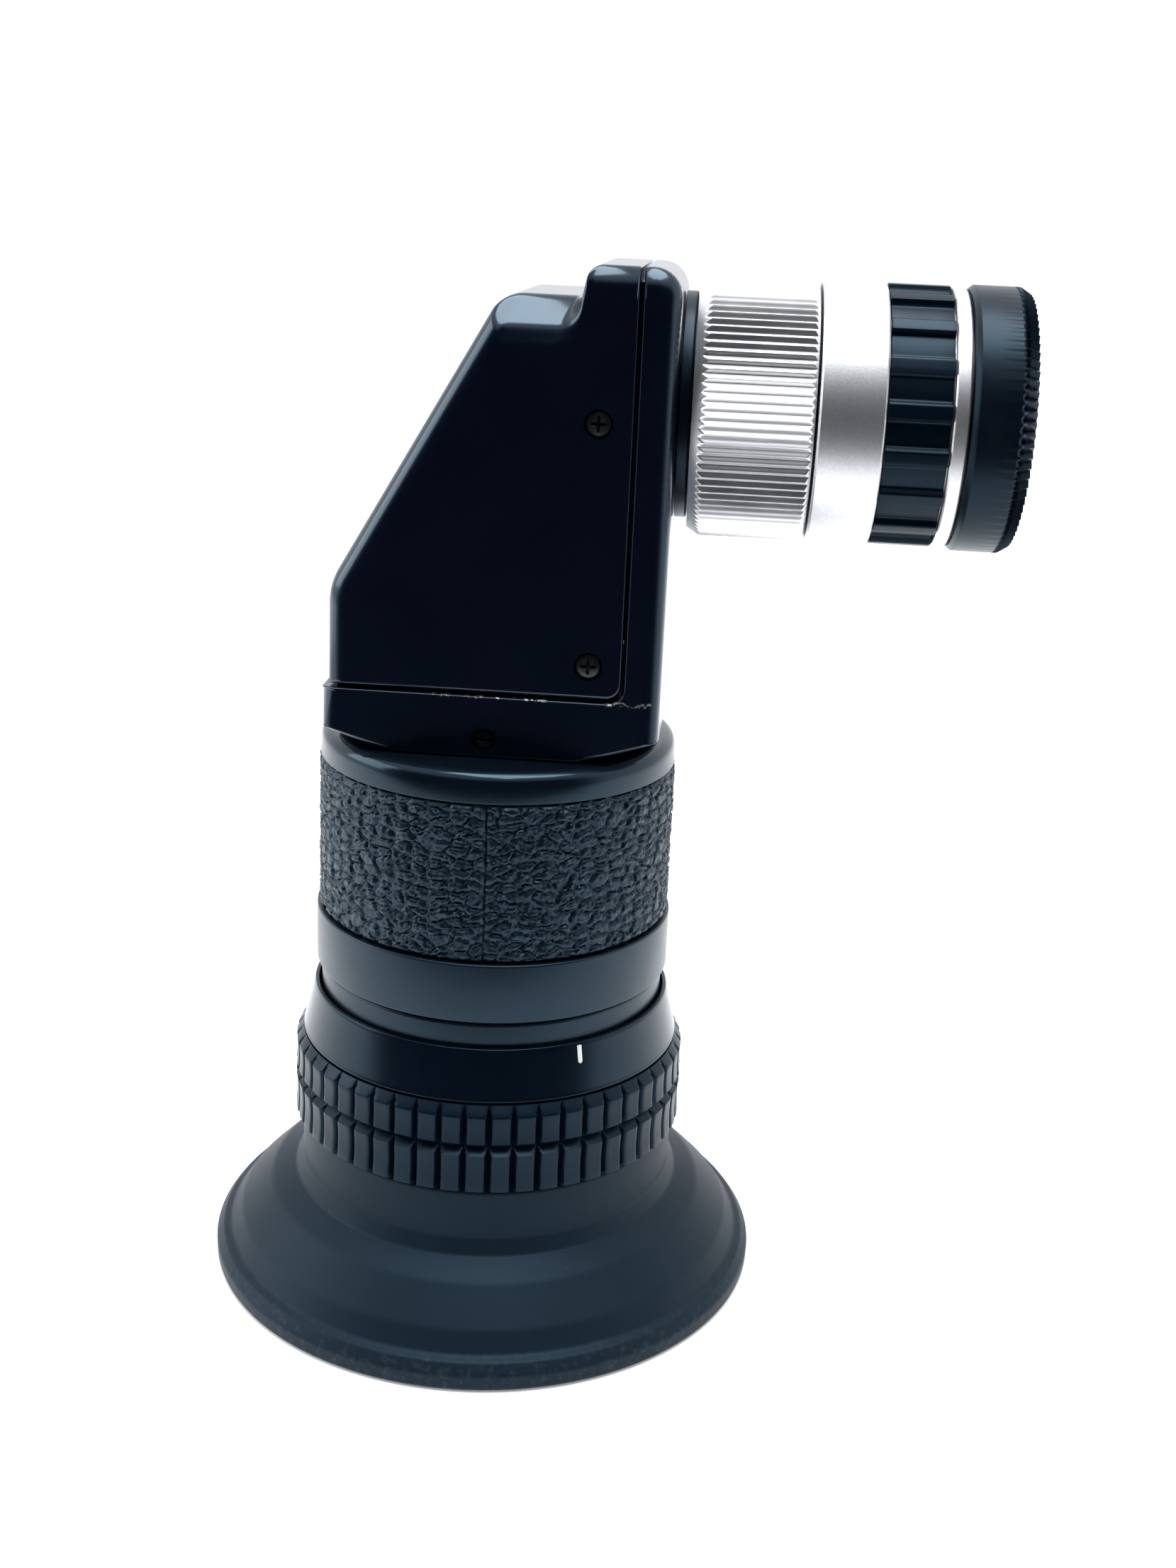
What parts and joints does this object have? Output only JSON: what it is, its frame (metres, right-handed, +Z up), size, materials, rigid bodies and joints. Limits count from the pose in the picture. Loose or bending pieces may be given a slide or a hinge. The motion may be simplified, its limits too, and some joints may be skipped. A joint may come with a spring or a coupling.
{
  "type": "right-angle viewfinder attachment",
  "caption": "Right-angle viewfinder attachment with a roof prism, a soft eyecup, a dioptre ring, a magnification ring and a knurled coupling nut.",
  "frame": {"origin": "middle of the model's footprint, on the plane that the eyecup's rim rests on", "axes": "+Z up the eyepiece barrel from the eyecup to the prism housing, +X along the camera-side tube towards its coupling nut"},
  "size_m": [0.0762, 0.057, 0.1027],
  "materials": {
    "black_paint": "semi-gloss baked black enamel over a die casting, worn bright on some edges",
    "black_anodised": "satin black anodised turned aluminium",
    "rubber": "moulded black rubber",
    "eyecup_rubber": "soft matte dark grey rubber, slightly dusty",
    "leatherette": "coarse pebbled black leatherette",
    "satin_chrome": "frosted satin chrome with bright turned edges",
    "bright_aluminium": "bright turned aluminium",
    "lens_glass": "polished optical glass",
    "screw_steel": "blackened steel screw",
    "brass": "turned brass pin",
    "spring_steel": "bare spring steel",
    "white_fill": "white paint filled into a cut line"
  },
  "bodies": {
    "finder": {"housing_frame": "black_paint", "prism_cover": "black_paint", "cover_screw_front_lower": "screw_steel", "cover_screw_front_upper": "screw_steel", "cover_screw_back_lower": "screw_steel", "cover_screw_back_upper": "screw_steel", "set_screw_front": "screw_steel", "set_screw_back": "screw_steel", "roof_prism": "lens_glass", "prism_bracket": "bright_aluminium", "bracket_screw_front": "screw_steel", "bracket_screw_back": "screw_steel", "prism_spring": "spring_steel", "barrel_tube": "black_anodised", "barrel_end_ring": "black_anodised", "leatherette_wrap": "leatherette", "field_lens": "lens_glass", "field_lens_ring": "black_anodised", "neck_tube": "black_anodised", "snap_ring": "spring_steel"},
    "relay": {"relay_cell": "black_anodised", "relay_lens_inner": "lens_glass", "relay_lens_outer": "lens_glass", "relay_lens_ring": "black_anodised", "cam_pin": "brass"},
    "magnification_ring": {"magnification_ring": "bright_aluminium"},
    "mount_tube": {"mount_tube": "satin_chrome", "rib_grip": "rubber", "front_lens": "lens_glass", "front_lens_ring": "black_anodised", "nut_retainer": "spring_steel"},
    "coupling_nut": {"coupling_nut": "black_anodised"},
    "eyepiece": {"eyepiece_tube": "black_anodised", "eye_lens": "lens_glass", "doublet_lens": "lens_glass", "lens_spacer": "black_anodised", "lens_retaining_ring": "black_anodised", "eyecup": "eyecup_rubber", "eyecup_clamp_ring": "black_anodised", "guide_pin": "brass"},
    "dioptre_ring": {"dioptre_cone": "black_anodised", "dioptre_grip": "rubber", "index_mark": "white_fill"}
  },
  "joints": [
    {"name": "dioptre_travel", "type": "slide", "parent": "finder", "child": "eyepiece", "axis": [0, 0, 1], "range_m": [-0.0015, 0.0015]},
    {"name": "dioptre_turn", "type": "hinge", "parent": "eyepiece", "child": "dioptre_ring", "pos_m": [-0.00957, 0, 0.01625], "axis": [0, 0, 1], "range_deg": [-60, 60]},
    {"name": "magnification_turn", "type": "hinge", "parent": "finder", "child": "magnification_ring", "pos_m": [-0.00957, 0, 0.08985], "axis": [1, 0, 0], "range_deg": [0, 90]},
    {"name": "relay_travel", "type": "slide", "parent": "finder", "child": "relay", "axis": [1, 0, 0], "range_m": [0, 0.0035]},
    {"name": "finder_swivel", "type": "hinge", "parent": "finder", "child": "mount_tube", "pos_m": [-0.00957, 0, 0.08985], "axis": [1, 0, 0], "continuous": true},
    {"name": "coupling_nut_turn", "type": "hinge", "parent": "mount_tube", "child": "coupling_nut", "pos_m": [0.03807, 0, 0.08985], "axis": [1, 0, 0], "continuous": true}
  ],
  "couplings": [
    {"joint": "dioptre_turn", "follows": "dioptre_travel", "rad_per_m": 698.06},
    {"joint": "magnification_turn", "follows": "relay_travel", "rad_per_m": 448.75}
  ]
}
